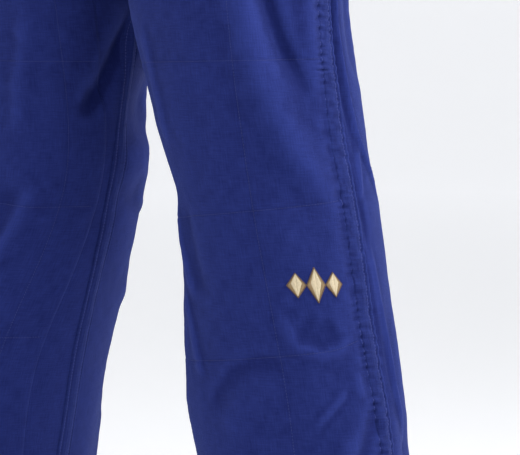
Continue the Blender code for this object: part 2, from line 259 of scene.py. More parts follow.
# Slow swells of the cloth where it hangs off the leg or lies against it: side, place round the leg,
# then heights and how far it stands out there in millimetres.
SWELLS = (
    (1, 0.071, (-0.36, -0.40, -0.46, -0.52, -0.57, -0.62, -0.67, -0.74, -0.79, -0.86, -0.98),
     (-3, -3.5, -1, 0.5, 3.5, 1.5, -1, -6.5, -10.5, -10.5, -7)),
    (1, -0.227, (-0.36, -0.40, -0.46, -0.50, -0.53, -0.56, -0.60, -0.645, -0.70, -0.75, -0.80),
     (4, 6, 5, 3.5, -2, -7, -3, -4, 2, 5, 0)),
    (-1, 0.227, (-0.38, -0.42, -0.46, -0.49, -0.505, -0.52, -0.535, -0.55, -0.565, -0.58, -0.592, -0.60, -0.62,
                 -0.65, -0.70, -0.74),
     (0, -7, -16, -18.5, -13.5, -6, 4.2, 5.2, 0.8, -1.6, 4.0, 5.2, 6.9, 6, 3.5, 0)),
)


def swell(a, z, side):
    total = np.zeros(np.shape(z))
    for which, place, levels, out in SWELLS:
        if which == side:
            here = sum(np.interp(shift - z, -np.array(levels), np.array(out) / 3000) for shift in (-0.006, 0, 0.006))
            total = total + here * bell(a - place, 0.062)
    return total


def ring_line(level, a):
    """Height of a quilting line that runs round the leg, rising towards the outer side."""
    slope = 0.10 * smooth(np.full_like(a, -level), 0.40, 0.55)
    return level + slope * (np.clip(a, -0.2, 0.0) + 0.09) + 0.004 * smooth(a, -0.05, -0.01) * (level < -0.65)


def quilt_gap(a, z):
    """Distance to the nearest line of the quilting."""
    gap = np.full(np.shape(z), np.inf)
    for level in QUILT_RINGS:
        gap = np.minimum(gap, np.abs(z - ring_line(level, a)))
    column = (np.abs(a) - QUILT_ARC) / QUILT_PITCH
    upright = np.abs(column - np.round(column)) * QUILT_PITCH
    return np.minimum(gap, upright)


def pucker_row(z, offset, seed):
    """Irregular dimples one after the other down a row of stitches, between 0 and 1."""
    warp = z / 0.0088 + 1.3 * noise(z / 0.021, np.full_like(z, offset), seed)
    deep = 0.75 + 0.45 * noise(z / 0.017, np.full_like(z, offset + 7.3), seed + 1)
    return deep * (0.5 + 0.5 * np.cos(2 * math.pi * warp)) ** 1.5


def seam_pucker(z, side, front):
    """The dimples along the front or the back row of the side seam."""
    return pucker_row(z, 1.5 if front else 5.5, LEG_SEED[side] + (20 if front else 23))


def relief(a, z, side):
    """How far the cloth stands out from the plain tube."""
    seed = LEG_SEED[side]
    d = 0.0030 * noise(a / 0.085 + 3, z / 0.13, seed) + 0.0012 * noise(a / 0.034, z / 0.060, seed + 1)
    d += 0.00024 * noise(a / 0.011, z / 0.013, seed + 2) + 0.00013 * noise(a / 0.0048, z / 0.0055, seed + 3)
    for path, width, height, lean in COMMON_FOLDS + (LEFT_FOLDS if side > 0 else RIGHT_FOLDS):
        d += fold(a, z, path, width, height, lean)
    d += swell(a, z, side)
    # gathers under the waistband
    gather = smooth(z, -0.16, -0.045)
    d += 0.0026 * gather * noise(a / 0.0105 + 0.6 * noise(a / 0.05, z / 0.04, seed + 6), z / 0.09, seed + 5)
    d *= smooth(z, WAIST_BOTTOM, WAIST_BOTTOM - 0.010)
    d -= 0.0012 * smooth(z, WAIST_BOTTOM - 0.006, WAIST_BOTTOM)
    # puckers beside the side seam, deeper in front
    gap = np.abs(a) - SIDE_BAND / 2
    dimple = np.where(a < 0, seam_pucker(z, side, True), seam_pucker(z, side, False))
    d -= np.where(a < 0, 0.0017, 0.0007) * dimple * bell(gap + 0.001, 0.0075)
    d -= 0.0009 * bell(np.maximum(gap, 0), 0.005)
    return d


# Heights, and how many millimetres the side seam wavers there towards the front.
SEAM_WAVER = ((-0.40, -0.46, -0.49, -0.52, -0.55, -0.59, -0.63, -0.67, -0.71, -0.75, -0.80, -0.86, -0.92, -0.98),
              (0, 3.5, 4.5, 4.5, 3, 1.5, 4, 6, 5, 2, 0, 3, 1, 0))


def seam_waver(a, z, side):
    levels, far = np.array(SEAM_WAVER[0]), np.array(SEAM_WAVER[1]) / 1000
    wavers = np.interp(-z, -levels, far) if side > 0 else np.interp(-z, -levels - 0.06, far[::-1])
    return wavers * bell(a, 0.035)


def leg_point(side, angle, z, lift):
    """The place on the cloth at an angle from the side seam, lifted by a number or an array."""
    cx, cy, half, deep = tube(z)
    a = angle * (half + deep) / 2
    angle = angle - seam_waver(a, z, side) / ((half + deep) / 2)
    nx, ny = np.cos(angle) / half, np.sin(angle) / deep
    n = np.hypot(nx, ny)
    nx, ny = nx / n, ny / n
    near = (math.pi - np.abs(angle)) * (half + deep) / 2
    mirror = 0.5 * smooth(near, 0.012, 0.0)
    d = relief(a, z, side) * (1 - mirror) + relief(-a, z, side) * mirror + lift
    crotch = smooth(np.abs(z - CROTCH), 0.045, 0.10)
    inner = smooth(np.abs(angle), 2.2, 2.9)
    d = d * (1 - inner * (1 - crotch) * 0.8)
    x = cx + half * np.cos(angle) + nx * d
    y = cy + deep * np.sin(angle) + ny * d
    return np.stack([side * np.maximum(x, 0.00008), y, z], axis=-1) + leaning(side, z)


# ---- mesh making
def mesh_object(name, points, faces, uv=None, tone=None, material=None):
    """A smooth mesh from numpy arrays, with the cloth's own coordinates in metres as its UV."""
    mesh = bpy.data.meshes.new(name)
    mesh.vertices.add(len(points))
    mesh.vertices.foreach_set("co", np.ascontiguousarray(points, np.float32).ravel())
    sizes = np.full(len(faces), faces.shape[1], np.int32)
    mesh.loops.add(int(sizes.sum()))
    mesh.loops.foreach_set("vertex_index", np.ascontiguousarray(faces, np.int32).ravel())
    mesh.polygons.add(len(faces))
    mesh.polygons.foreach_set("loop_start", np.concatenate([[0], np.cumsum(sizes)[:-1]]).astype(np.int32))
    mesh.polygons.foreach_set("use_smooth", np.ones(len(faces), bool))
    mesh.update(calc_edges=True)
    mesh.validate()
    if uv is not None:
        layer = mesh.uv_layers.new(name="cloth")
        layer.data.foreach_set("uv", np.ascontiguousarray(uv[faces.ravel()], np.float32).ravel())
    if tone is not None:
        attribute = mesh.attributes.new("tone", "FLOAT", "POINT")
        attribute.data.foreach_set("value", np.ascontiguousarray(tone, np.float32))
    made = bpy.data.objects.new(name, mesh)
    bpy.context.scene.collection.objects.link(made)
    if material is not None:
        mesh.materials.append(material)
    return made


def grid_faces(rows, columns, flip, closed=False):
    i, j = np.meshgrid(np.arange(rows - 1), np.arange(columns if closed else columns - 1), indexing="ij")
    k = (j + 1) % columns
    a, b, c, d = i * columns + j, i * columns + k, (i + 1) * columns + k, (i + 1) * columns + j
    quads = np.stack([a, b, c, d] if flip else [d, c, b, a], axis=-1)
    return quads.reshape(-1, 4)


def grid_object(name, points, a, z, side, material, tone=None, closed=False):
    """A grid of points as cloth that faces away from the middle of the leg, or of the waist for side 0."""
    rows, columns = points.shape[:2]
    cx, cy, _, _ = tube(points[:-1, :-1, 2])
    down, over = points[1:, :-1] - points[:-1, :-1], points[:-1, 1:] - points[:-1, :-1]
    normal = np.cross(over, down)
    outward = (points[:-1, :-1] - leaning(side, points[:-1, :-1, 2]))[..., :2] - np.stack([side * cx, cy], axis=-1)
    facing = (normal[..., :2] * outward).sum()
    faces = grid_faces(rows, columns, facing > 0, closed)
    uv = np.stack([a, z], axis=-1).reshape(-1, 2)
    tone = np.zeros(rows * columns) if tone is None else tone.ravel()
    return mesh_object(name, points.reshape(-1, 3), faces, uv, tone, material)


def end_angle(z):
    """Where a panel ends: at the middle above the crotch, at the inseam below it."""
    cx, _, half, _ = tube(z)
    return np.arccos(np.clip(-cx / half, -1, 1))


def heights(top, bottom, step=0.0025):
    return np.linspace(top, bottom, max(3, int(round((top - bottom) / step)) + 1))


def wear_and_painted_light(a, z, side):
    """Tone of the cloth from the relief's curvature, between -0.7 and 0.9: paler on ridges, partly abraded dye and
    partly painted highlight, and darker in troughs as painted shade.
    """
    gap = np.abs(np.abs(a) - SIDE_BAND / 2)
    step = 0.008
    beside = relief(a + step, z, side) + relief(a - step, z, side)
    around = beside + relief(a, z + step, side) + relief(a, z - step, side)
    ridge = (relief(a, z, side) - around / 4) / step**2
    # ridges paler (abraded dye and painted highlight), troughs darker (painted shade)
    rubbed_and_painted_light = np.clip(ridge / 15, -0.6, 0.8)
    # painted shade: darker beside the side seam near the top, and painted shadow high up inside the thighs under the
    # crotch
    rubbed_and_painted_light -= 0.45 * bell(np.abs(a) - 0.020, 0.022) * smooth(z, -0.50, -0.42)
    rubbed_and_painted_light -= 0.55 * smooth(np.abs(a), 0.21, 0.28) * smooth(z, -0.56, -0.45)
    return np.clip(rubbed_and_painted_light + 0.3 * bell(gap, 0.003) * noise(a / 0.003, z / 0.006, 91), -0.7, 0.9)


def panel(name, side, face, top, bottom, material, lift=0.0, first=0.0, last=None, step=0.0025, capped=False):
    """A panel of cloth from an angle at the side seam (first) round to its inner edge (last, by height)."""
    z = heights(top, bottom, step)
    if capped:
        edge = np.array([0.0, 0.0006, 0.0014, 0.0026])
        z = np.unique(np.concatenate([z, top - edge, bottom + edge]))[::-1]
    start = np.full_like(z, first)
    stop = end_angle(z) if last is None else last(z)
    count = int(0.30 / step)
    t = np.linspace(0, 1, count + 1) ** (1.25 if capped else 1.4)
    angle = face * (start[:, None] + (stop - start)[:, None] * t)
    zz = np.broadcast_to(z[:, None], angle.shape)
    a = angle * mean_radius(zz)
    extra = lift(a, zz, t) if callable(lift) else lift
    points = leg_point(side, angle, zz, extra)
    # tone: abraded dye with painted highlight on ridges and painted shade in troughs
    return grid_object(name, points, a, zz, side, material, wear_and_painted_light(a, zz, side))


def reinforcement_lift(a, z, t):
    """The second layer stands one thickness proud, is rolled at its edges and drawn in along the quilting."""
    rim = smooth(LAYER_TOP - z, 0, 0.0016) * smooth(z - LAYER_BOTTOM, 0, 0.0016) * smooth(1 - t, 0, 0.008)
    q = quilt_gap(a, z)
    bite = noise(a / 0.0032, z / 0.0032, 71)
    line = 0.00085 * bell(q, 0.0011) * (1 + 0.35 * bite)
    puff = 0.0006 * (1 - bell(q, 0.012)) + 0.00022 * bell(q - 0.004, 0.003) * bite
    inner_row = bell(z - (LAYER_TOP - LAYER_EDGE_ROW), 0.0012) + bell(z - (LAYER_BOTTOM + LAYER_EDGE_ROW), 0.0012)
    return rim * (LAYER + puff - line - 0.0006 * inner_row)


def band_profile(t, width, rows=(-0.0062, 0.0062), thick=0.0021):
    """Cross-section of a felled seam: folded edges, and the rows of thread pulled in."""
    edge = smooth(width / 2 - np.abs(t), 0.0, 0.0017)
    groove = sum(bell(t - r, 0.0011) for r in rows)
    crown = 0.0004 * bell(t, 0.003)
    return edge * (thick + crown) - 0.0009 * groove


def side_band_points(side, t, z):
    """Points of the side seam's band, t metres from its middle."""
    lift = band_profile(t, SIDE_BAND, SIDE_ROWS)
    for row, depth in zip(SIDE_ROWS, (0.0017, 0.0006)):
        lift = lift - depth * seam_pucker(z, side, row < 0) * bell(t - row * 1.12, 0.0046)
    ladder = pucker_row(z + 0.15 * t, 3.0, 29 if side > 0 else 67) + 0.7 * pucker_row(1.9 * z - 0.2 * t, 9.0, 31)
    lift = lift + 0.0009 * (0.5 - ladder) * smooth(SIDE_BAND / 2 - np.abs(t), 0.001, 0.005)
    lift = lift + 0.00030 * noise(t / 0.004, z / 0.004, 83)
    return leg_point(side, t / mean_radius(z), z, lift)


def side_band(name, side, top, bottom, material):
    z = heights(top, bottom, 0.0014)
    t = np.linspace(-SIDE_BAND / 2, SIDE_BAND / 2, 29)
    tt, zz = np.meshgrid(t, z)
    points = side_band_points(side, tt, zz)
    ridge = bell(np.abs(tt) - SIDE_BAND / 2 + 0.0012, 0.0012) + 0.4 * noise(tt / 0.004, zz / 0.005, 17)
    return grid_object(name, points, tt, zz, side, material, np.clip(ridge, -0.3, 0.8))


def inner_band_points(side, t, z):
    """Points of the inseam's band; its arc coordinate passes from the front panel to the back panel."""
    angle = math.pi - np.abs(t) / mean_radius(z)
    lift = band_profile(t, INNER_BAND, INNER_ROWS, 0.0018) + 0.0002 * noise(t / 0.004, z / 0.004, 85)
    front = leg_point(side, -angle, z, lift)
    back = leg_point(side, angle, z, lift)
    mix = smooth(t, -0.004, 0.004)[..., None]
    return front * (1 - mix) + back * mix


def inner_band(name, side, top, bottom, material):
    z = heights(top, bottom, 0.0025)
    t = np.linspace(-INNER_BAND / 2, INNER_BAND / 2, 19)
    tt, zz = np.meshgrid(t, z)
    return grid_object(name, inner_band_points(side, tt, zz), tt + 0.29, zz, side, material)


def rise_band(name, side, face, top, bottom, material):
    """One half of the rise seam, from the middle plane out over the panel."""
    z = heights(top, bottom, 0.0025)
    x = np.linspace(0.0, INNER_BAND / 2, 10)
    xx, zz = np.meshgrid(x, z)
    cx, _, half, _ = tube(zz)
    angle = face * np.arccos(np.clip((xx - cx) / half, -1, 1))
    lift = band_profile(xx, INNER_BAND, (0.0045,), 0.0018) - 0.0006 * bell(xx, 0.001)
    points = leg_point(side, angle, zz, lift)
    points[:, 0, 0] = 0.0
    return grid_object(name, points, xx, zz, side, material)


# ---- thread
def unit(v):
    return v / np.maximum(np.linalg.norm(v, axis=-1, keepdims=True), 1e-9)


def thread_tubes(name, centre, ahead, up, thick, uv, material):
    """Six-sided tubes through rows of five points, thick at each point, one mesh for all."""
    across = unit(np.cross(up, ahead))
    ring = np.linspace(0, 2 * math.pi, 7)[:-1, None]
    out = across[:, :, None, :] * np.cos(ring) + up[:, :, None, :] * np.sin(ring)
    flat = (centre[:, :, None, :] + out * thick[:, None, None]).reshape(-1, 3)
    one = grid_faces(5, 6, False, closed=True)
    faces = (one[None] + (np.arange(len(centre)) * 30)[:, None, None]).reshape(-1, 4)
    return mesh_object(name, flat, faces, np.zeros((len(flat), 2)) if uv else None, np.zeros(len(flat)), material)


def stitches(path, normal, material, pitch=0.0031, length=0.0023, radius=0.00027, sink=0.5):
    """Short stitches of round thread along a path, each end dipping into the cloth."""
    path, normal = np.asarray(path, float), np.asarray(normal, float)
    where = np.concatenate([[0], np.cumsum(np.linalg.norm(np.diff(path, axis=0), axis=1))])
    count = int(where[-1] / pitch)
    at = (np.arange(count)[:, None] + 0.5) * pitch + np.array([-0.5, -0.32, 0.0, 0.32, 0.5]) * length
    at = np.clip(at, 0, where[-1])
    centre = np.stack([np.interp(at, where, path[:, k]) for k in range(3)], axis=-1)
    up = unit(np.stack([np.interp(at, where, normal[:, k]) for k in range(3)], axis=-1))
    ahead = unit(centre[:, -1:] - centre[:, :1])
    arch = np.array([-1.0, 0.25, 0.6, 0.25, -1.0]) * radius
    centre = centre + up * (arch[:, None] + (0.5 - sink) * radius)
    thick = np.array([0.55, 0.95, 1.0, 0.95, 0.55]) * radius
    return thread_tubes("row", centre, ahead, up, thick, True, material)


def surface_path(side, angle, z, lift):
    """Points on the cloth and their outward directions, for a row of thread."""
    angle, z = np.asarray(angle, float), np.asarray(z, float)
    points = leg_point(side, angle, z, lift)
    _, _, half, deep = tube(z)
    normal = np.stack([side * np.cos(angle) / half, np.sin(angle) / deep, np.zeros_like(z)], axis=-1)
    return points, unit(normal)


def join(name, pieces):
    """One object from several meshes of one kind."""
    bpy.ops.object.select_all(action="DESELECT")
    for piece in pieces:
        piece.select_set(True)
    bpy.context.view_layer.objects.active = pieces[0]
    bpy.ops.object.join()
    made = bpy.context.object
    made.name = name
    return made


# ---- materials
def node(tree, kind, **settings):
    made = tree.nodes.new("ShaderNode" + kind)
    for key, value in settings.items():
        if key.startswith("in_"):
            made.inputs[int(key[3:]) if key[3:].isdigit() else key[3:]].default_value = value
        else:
            setattr(made, key, value)
    return made


def maths(tree, operation, first, second=None, clamp=False):
    made = node(tree, "Math", operation=operation, use_clamp=clamp)
    for k, value in enumerate((first, second)):
        if value is None:
            continue
        if isinstance(value, (int, float)):
            made.inputs[k].default_value = value
        else:
            tree.links.new(value, made.inputs[k])
    return made.outputs[0]


def stretched_noise(tree, uv, across, up, detail=3.0):
    """Noise with its grains stretched along the cloth's threads; across and up are grains per metre."""
    mapping = node(tree, "Mapping")
    mapping.inputs["Scale"].default_value = (across, up, 1)
    tree.links.new(uv, mapping.inputs["Vector"])
    made = node(tree, "TexNoise")
    made.inputs["Scale"].default_value = 1.0
    made.inputs["Detail"].default_value = detail
    made.inputs["Roughness"].default_value = 0.6
    tree.links.new(mapping.outputs[0], made.inputs["Vector"])
    return made.outputs["Fac"]


def weighted(tree, *terms):
    """The sum of sockets times their weights."""
    total = None
    for socket, weight in terms:
        part = maths(tree, "MULTIPLY", socket, weight)
        total = part if total is None else maths(tree, "ADD", total, part)
    return total


def colour_between(tree, factor, low, high):
    made = node(tree, "Mix", data_type="RGBA")
    tree.links.new(factor, made.inputs["Factor"])
    made.inputs["A"].default_value = (*low, 1)
    made.inputs["B"].default_value = (*high, 1)
    return made.outputs["Result"]


def roughen(tree, shader, height, strength, distance):
    made = node(tree, "Bump", in_Strength=strength, in_Distance=distance)
    tree.links.new(height, made.inputs["Height"])
    tree.links.new(made.outputs[0], shader.inputs["Normal"])


def new_material(name, **settings):
    """A material, its tree and its shader, with the shader's inputs set by name."""
    material = bpy.data.materials.new(name)
    material.use_nodes = True
    shader = material.node_tree.nodes["Principled BSDF"]
    for key, value in settings.items():
        shader.inputs[key.replace("_", " ")].default_value = value
    return material, material.node_tree, shader


def grains(tree, scale):
    """Even noise over the object."""
    made = node(tree, "TexNoise")
    made.inputs["Scale"].default_value = scale
    tree.links.new(node(tree, "TexCoord").outputs["Object"], made.inputs["Vector"])
    return made.outputs["Fac"]


def cotton(name, colour, pale, weave=0.0011, contrast=0.30):
    """Plain-woven cotton with slubs and uneven dye; the tone attribute pales the ridges (abraded dye and painted
    highlight) and darkens troughs, the side seam's neighbourhood and the inner thighs (painted shade).
    """
    material, tree, shader = new_material(
        name, Specular_IOR_Level=0.08, Sheen_Weight=0.18, Sheen_Roughness=0.45, Sheen_Tint=(0.24, 0.33, 1.0, 1)
    )
    uv = node(tree, "UVMap", uv_map="cloth").outputs[0]
    parts = node(tree, "SeparateXYZ")
    tree.links.new(uv, parts.inputs[0])
    turn = 2 * math.pi / weave
    warp, weft = (maths(tree, "SINE", maths(tree, "MULTIPLY", parts.outputs[k], turn)) for k in (0, 1))
    plain = maths(tree, "MULTIPLY", warp, weft)
    slubs = maths(tree, "ADD", stretched_noise(tree, uv, 900, 70), stretched_noise(tree, uv, 80, 800))
    cloudy = stretched_noise(tree, uv, 22, 16, 4.0)
    fine = stretched_noise(tree, uv, 1500, 1500, 2.0)
    level = weighted(tree, (slubs, 0.66), (cloudy, 0.26), (plain, 0.06), (fine, 0.15))
    level = maths(tree, "MULTIPLY", maths(tree, "SUBTRACT", level, 0.86), contrast * 4)
    # tone: abraded dye together with painted highlight and painted shade
    rubbed_and_painted_light = maths(tree, "MULTIPLY", node(tree, "Attribute", attribute_name="tone").outputs["Fac"], 0.42)
    mixed = maths(tree, "ADD", maths(tree, "ADD", level, 0.32), rubbed_and_painted_light, clamp=True)
    tree.links.new(colour_between(tree, mixed, colour, pale), shader.inputs["Base Color"])
    rough = maths(tree, "ADD", maths(tree, "MULTIPLY", cloudy, 0.12), 0.80)
    tree.links.new(rough, shader.inputs["Roughness"])
    roughen(tree, shader, weighted(tree, (plain, 0.35), (slubs, 0.9), (fine, 0.5)), 0.45, 0.0006)
    return material


def thread(name, colour, roughness=0.55, sheen=0.2):
    """Sewing thread with a little variation along it."""
    material, tree, shader = new_material(name, Roughness=roughness, Sheen_Weight=sheen)
    twist = grains(tree, 900)
    low, high = (tuple(min(1, c * share) for c in colour) for share in (0.7, 1.25))
    tree.links.new(colour_between(tree, twist, low, high), shader.inputs["Base Color"])
    roughen(tree, shader, twist, 0.3, 0.0002)
    return material


BLUE = cotton("blue_cotton", (0.0070, 0.0122, 0.086), (0.021, 0.034, 0.180))
QUILT = cotton("quilted_cotton", (0.0071, 0.0124, 0.087), (0.0215, 0.035, 0.183))
# darker than the blue cloth: painted shade for the shade among the seam's puckers
SEAM = cotton("seam_cotton", (0.0062, 0.0108, 0.076), (0.022, 0.036, 0.180), contrast=0.34)
SEAM_THREAD = thread("blue_thread", (0.028, 0.043, 0.200), sheen=0.05)
QUILT_THREAD = thread("quilting_thread", (0.014, 0.023, 0.125), sheen=0.02)
GOLD = thread("gold_thread", (0.60, 0.50, 0.33), 0.42, 0.1)
OLD_GOLD = thread("old_gold_thread", (0.25, 0.165, 0.070), 0.42, 0.1)
UMBER = thread("umber_thread", (0.10, 0.055, 0.028), 0.6, 0.1)
WHITE_THREAD = thread("white_thread", (0.78, 0.77, 0.73))
ELASTIC = cotton("elastic_white", (0.62, 0.62, 0.60), (0.80, 0.80, 0.78), weave=0.0016, contrast=0.1)
LABEL = cotton("label_white", (0.70, 0.70, 0.67), (0.85, 0.85, 0.83), weave=0.0005, contrast=0.06)


# ---- baking pieces in place, and hiding the CAD's parts
def with_hip(piece, word):
    """Bakes the piece's transform into its mesh."""
    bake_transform(piece)


def with_knee(piece, word):
    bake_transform(piece)


def cloth(nodes):
    """Hides the CAD's parts that this sheet of cloth stands in for."""
    if nodes:
        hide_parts(*nodes)


# ---- a leg
def wall_inside(y, z):
    """How far the leg's plain tube stands off the middle plane, at depth y and heights z."""
    cx, cy, half, deep = tube(z)
    return cx - half * np.sqrt(np.clip(1 - ((y - cy) / deep) ** 2, 0, 1))


def gusset_half(name, side, material):
    """One half of the gusset, from the crotch line down the inner wall of the leg."""
    ys = np.linspace(GUSSET_FRONT, GUSSET_BACK, 44)
    middle, reach = (GUSSET_FRONT + GUSSET_BACK) / 2, (GUSSET_BACK - GUSSET_FRONT) / 2
    count = 18
    edge = smooth(np.linspace(1, 0, count), 0, 0.12)
    search = np.linspace(-0.20, -0.42, 500)
    points = []
    for y in ys:
        depth = GUSSET_RIM + GUSSET_DEPTH * max(1 - abs(y - middle) / reach, 0.0)
        lift = GUSSET_LIFT + 0.0010 * noise(np.array(y / 0.012), np.array(3.3), 5)
        crest = search[np.argmax(wall_inside(y, search) > lift)]
        row_z = crest - depth * np.linspace(0, 1, count) ** 1.1
        x = np.maximum(0.0, wall_inside(y, row_z) - lift * (0.55 + 0.45 * edge))
        x[0] = 0.0
        points.append(np.stack([side * x, np.full(count, y), row_z], axis=-1))
    points = np.array(points)
    a, z = np.broadcast_to(ys[:, None], points.shape[:2]), points[..., 2]
    return grid_object(name, points, a, z, side, material)


def hem_ring(name, side, material):
    """The turned-up hem: outer face, rolled bottom and inner face, closed round the leg."""
    columns = 288
    t = np.linspace(-math.pi, math.pi, columns, endpoint=False)
    profile = [(z, 0.0) for z in np.linspace(HEM_TOP, HEM_BOTTOM + 0.0016, 16)]
    profile += [(HEM_BOTTOM + 0.0005, -0.0006), (HEM_BOTTOM, -0.0018), (HEM_BOTTOM + 0.0006, -0.0031)]
    profile += [(z, -0.0036) for z in np.linspace(HEM_BOTTOM + 0.0025, HEM_TOP + 0.002, 8)]
    rows = []
    for z, inward in profile:
        groove = 0.0 if inward else 0.0005 * sum(bell(z - r, 0.0009) for r in HEM_ROWS)
        rows.append(leg_point(side, t, np.full(columns, z), 0.0004 + inward - groove))
    points = np.array(rows)
    z = points[..., 2]
    return grid_object(name, points, np.broadcast_to(t * 0.095, z.shape), z, side, material, closed=True)


def quilting(word, side):
    """Fine stitches along every line of the quilting, split where the leg's upper piece ends."""
    upper, lower = [], []
    across = np.linspace(-SIDE_BAND / 2 - 0.001, QUILT_END, 300)

    def row(store, a, z, sunk, radius):
        points, normal = surface_path(side, a / mean_radius(z), z, LAYER - sunk)
        store.append(stitches(points, normal, QUILT_THREAD, 0.0027, 0.0019, radius))

    for level in QUILT_RINGS:
        row(lower, across, ring_line(level, across), 0.00045, 0.00018)
    for arc in (QUILT_ARC, QUILT_ARC + QUILT_PITCH):
        for top, bottom, store in ((LAYER_TOP, SPLIT, upper), (SPLIT, LAYER_BOTTOM, lower)):
            row(store, -arc, np.linspace(top, bottom, 300), 0.00045, 0.00018)
    for level, store in ((LAYER_TOP - LAYER_EDGE_ROW, upper), (LAYER_BOTTOM + LAYER_EDGE_ROW, lower)):
        row(store, across, np.full_like(across, level), 0.0002, 0.0002)
    return join(word + "_quilting_thread_upper", upper), join(word + "_quilting_thread_lower", lower)


def seam_threads(word, side):
    """Two rows of thread down the side seam and the inseam, and four round the hem."""
    upper, lower = [], []

    def rows(band_points, row, start, count, facing, sink=0.5):
        for top, bottom, store in ((start, SPLIT, upper), (SPLIT, THREAD_BOTTOM, lower)):
            z = np.linspace(top, bottom, count)
            points = band_points(side, np.full_like(z, row), z)
            _, normal = surface_path(side, np.full_like(z, facing), z, 0.0)
            store.append(stitches(points, normal, SEAM_THREAD, sink=sink))

    for row, sink in zip(SIDE_ROWS, (1.1, 0.5)):
        rows(side_band_points, row, WAIST_BOTTOM, 900, row / 0.1, sink)
    for row in INNER_ROWS:
        rows(inner_band_points, row, INSEAM_TOP, 600, math.pi)
    for level in HEM_ROWS:
        for ends in ((0.13, 2.98), (-2.98, -0.13)):
            t = np.linspace(*ends, 400)
            points, normal = surface_path(side, t, np.full_like(t, level), 0.00005)
            lower.append(stitches(points, normal, SEAM_THREAD))
    return join(word + "_seam_thread_upper", upper), join(word + "_seam_thread_lower", lower)


def reinforcement(name, side, top, bottom, material):
    def inner_edge(z):
        return np.minimum(LAYER_WIDTH / mean_radius(z), end_angle(z) - 0.10)

    return panel(name, side, -1, top, bottom, material, reinforcement_lift, LAYER_START, inner_edge, 0.0020, True)


# kind, how it is made, material, slot, width, where it is cut, and the zones of its upper piece
STRIPS = (
    ("reinforcement", reinforcement, QUILT, "quilted_cotton", 0.265, (LAYER_TOP, SPLIT, LAYER_BOTTOM), ("hip",)),
    ("side_seam", side_band, SEAM, "seam_cotton", SIDE_BAND, (PANEL_TOP, SPLIT, BAND_BOTTOM), ("seat", "hip")),
    ("inseam", inner_band, SEAM, "seam_cotton", INNER_BAND, (INSEAM_TOP, SPLIT, BAND_BOTTOM), ()),
)
LOWER_ZONES = ("thigh", "knee", "shin")


def build_leg(word):
    side = SIDES[word]
    for face, label in ((-1, "front"), (1, "back")):
        leg = f"{word}_{label}"
        top = panel(leg + "_cloth_upper", side, face, PANEL_TOP, SPLIT, BLUE, CLOTH_LIFT)
        cloth([f"{leg}_panel_{z}" for z in ("seat", "hip")])
        with_hip(top, word)
        low = panel(leg + "_cloth_lower", side, face, SPLIT, HEM_TOP, BLUE, CLOTH_LIFT)
        cloth([f"{leg}_panel_{z}" for z in LOWER_ZONES])
        with_knee(low, word)
        rise = rise_band(leg + "_rise_seam_half", side, face, PANEL_TOP, RISE_BOTTOM, SEAM)
        cloth([label + "_rise_seam"] if side > 0 else ())
        with_hip(rise, word)
    for kind, make, material, slot, width, (top, split, bottom), upper_zones in STRIPS:
        for part, start, end, move, zones in (
            ("upper", top, split, with_hip, upper_zones),
            ("lower", split, bottom, with_knee, LOWER_ZONES),
        ):
            strip = make(f"{word}_{kind}_{part}", side, start, end, material)
            cloth([f"{word}_{kind}_{z}" for z in zones])
            move(strip, word)
    gusset = gusset_half(word + "_gusset_half", side, BLUE)
    cloth(["crotch_gusset"] if side > 0 else ())
    with_hip(gusset, word)
    hem = hem_ring(word + "_hem_cloth", side, BLUE)
    cloth([word + "_hem"])
    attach(hem, word + "_shin")
    for piece, move in zip(quilting(word, side), (with_hip, with_knee)):
        move(piece, word)
    for piece, move in zip(seam_threads(word, side), (with_hip, with_knee)):
        move(piece, word)


# ---- waistband
WAIST_ROWS = (-0.0075, -0.0210, -0.0345)
EYELET_X, EYELET_Z, EYELET_HOLE, EYELET_THICK = 0.034, -0.021, 0.0030, 0.0011
LOOP_X, LOOP_WIDTH, LOOP_BOW = 0.058, 0.010, 0.009
WAIST_RADIUS, GATHER_PITCH = 0.143, 0.0078
LABEL_TURN, LABEL_Z, LABEL_HALF = 2 * math.pi / 48, -0.021, 0.013


def waist_point(angle, z, lift):
    cx, cy, half, deep = tube(z)
    return np.stack([(half + cx + lift) * np.cos(angle), cy + (deep + lift) * np.sin(angle), z + 0 * angle], axis=-1)


def waist_gathers(angle, z, seed=61):
    """Upright gathers of the elasticated waistband, pinched along its rows of stitches."""

    def wave(at):
        return noise(at + 0.5 * noise(at / 3.1, z / 0.012, seed + 1), z / 0.030, seed)

    arc = angle * WAIST_RADIUS / GATHER_PITCH
    once_round = 2 * math.pi * WAIST_RADIUS / GATHER_PITCH
    mix = smooth(angle, math.pi - 0.15, math.pi)
    gathers = wave(arc) * (1 - mix) + wave(arc - once_round) * mix
    pinch = sum(bell(z - r, 0.0022) for r in WAIST_ROWS)
    return 0.0010 + 0.0011 * gathers * (1 - 0.45 * pinch) - 0.0008 * pinch


def facing_gathers(angle, z):
    return 0.6 * waist_gathers(angle, z, 73)


def elastic_ribs(angle, z):
    return 0.0004 * np.sin(angle * 90) + 0.0002 * noise(angle * 60, z / 0.004, 7)


def waist_front(x, z):
    cx, _, half, _ = tube(np.asarray(z, float))
    return -np.arccos(np.clip(x / (half + cx), -1, 1))


def waist_ring(name, profile, material, gather, columns=1200):
    """A ring round the waist from a profile of (height, lift, share of the gathers)."""
    angle = np.linspace(-math.pi, math.pi, columns, endpoint=False)
    rows = []
    for z, lift, share in profile:
        level = np.full(columns, z)
        rows.append(waist_point(angle, level, lift + share * gather(angle, level)))
    points = np.array(rows)
    z = points[..., 2]
    return grid_object(name, points, np.broadcast_to(angle * WAIST_RADIUS, z.shape), z, 0, material, closed=True)


def delete_within(made, centre, radius):
    mesh = made.data
    work = bmesh.new()
    work.from_mesh(mesh)
    near = [v for v in work.verts if (v.co - centre).length < radius]
    bmesh.ops.delete(work, geom=near, context="VERTS")
    work.to_mesh(mesh)
    work.free()


